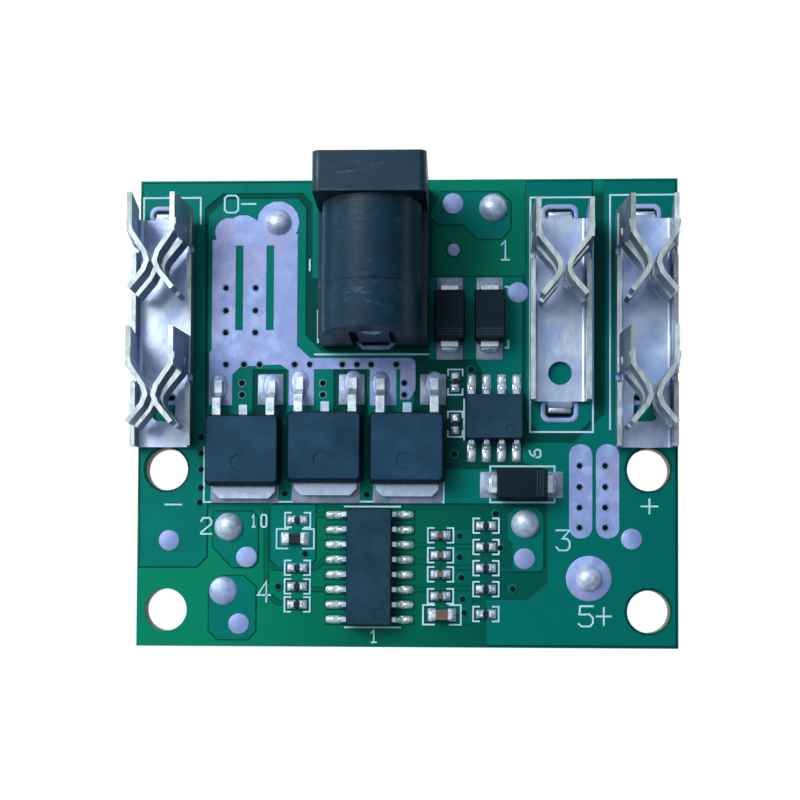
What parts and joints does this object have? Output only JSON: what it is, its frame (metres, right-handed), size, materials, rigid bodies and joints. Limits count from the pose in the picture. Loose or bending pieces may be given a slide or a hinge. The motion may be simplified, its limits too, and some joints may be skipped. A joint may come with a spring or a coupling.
{
  "type": "battery management board",
  "caption": "Flat rectangular circuit module that charges and protects a battery pack, with stamped spring blade terminals, a barrel jack, power transistors and screw holes.",
  "frame": {"origin": "centre of the rectangle of mounting holes, on the underside of the laminate", "axes": "+X along the board's long side, +Y towards the edge with the power jack and the terminals, +Z out of the component side"},
  "size_m": [0.0463, 0.04, 0.0139],
  "materials": {
    "solder_mask": "green-blue solder mask over a glass-fibre laminate, semi-gloss",
    "masked_copper": "copper under green-blue solder mask, semi-gloss",
    "tin": "bright tin and solder, slightly uneven",
    "tinned_sheet": "tin-plated spring sheet, bright",
    "black_moulding": "black moulding compound, fine matt",
    "jack_plastic": "black moulded plastic, satin",
    "chip_black": "dark glassy overcoat on ceramic",
    "chip_tan": "fired tan ceramic, matt"
  },
  "bodies": {
    "root": {"capacitor_1": "chip_tan", "capacitor_2": "chip_tan", "capacitor_3": "chip_tan", "capacitor_4": "chip_tan", "capacitor_5": "chip_tan", "capacitor_end_caps": "tin", "cell_tap_solder": "tin", "charge_switch_body": "black_moulding", "charge_switch_leads": "tin", "charge_terminal": "tinned_sheet", "circuit_board": "solder_mask", "controller_body": "black_moulding", "controller_leads": "tin", "copper_pours": "masked_copper", "diode_1_body": "black_moulding", "diode_1_terminals": "tin", "diode_2_body": "black_moulding", "diode_2_terminals": "tin", "diode_3_body": "black_moulding", "diode_3_terminals": "tin", "jack_centre_pin": "tinned_sheet", "jack_housing": "jack_plastic", "jack_rear_terminal": "tinned_sheet", "jack_sleeve_spring": "tinned_sheet", "jack_switch_contact": "tinned_sheet", "leg_solder": "tin", "negative_terminal": "tinned_sheet", "positive_terminal": "tinned_sheet", "resistor_1": "chip_black", "resistor_10": "chip_black", "resistor_11": "chip_black", "resistor_12": "chip_black", "resistor_2": "chip_black", "resistor_3": "chip_black", "resistor_4": "chip_black", "resistor_5": "chip_black", "resistor_6": "chip_black", "resistor_7": "chip_black", "resistor_8": "chip_black", "resistor_9": "chip_black", "resistor_end_caps": "tin", "tinned_pads": "tin", "transistor_1_body": "black_moulding", "transistor_1_leads": "tin", "transistor_1_tab": "tin", "transistor_2_body": "black_moulding", "transistor_2_leads": "tin", "transistor_2_tab": "tin", "transistor_3_body": "black_moulding", "transistor_3_leads": "tin", "transistor_3_tab": "tin"}
  },
  "joints": []
}
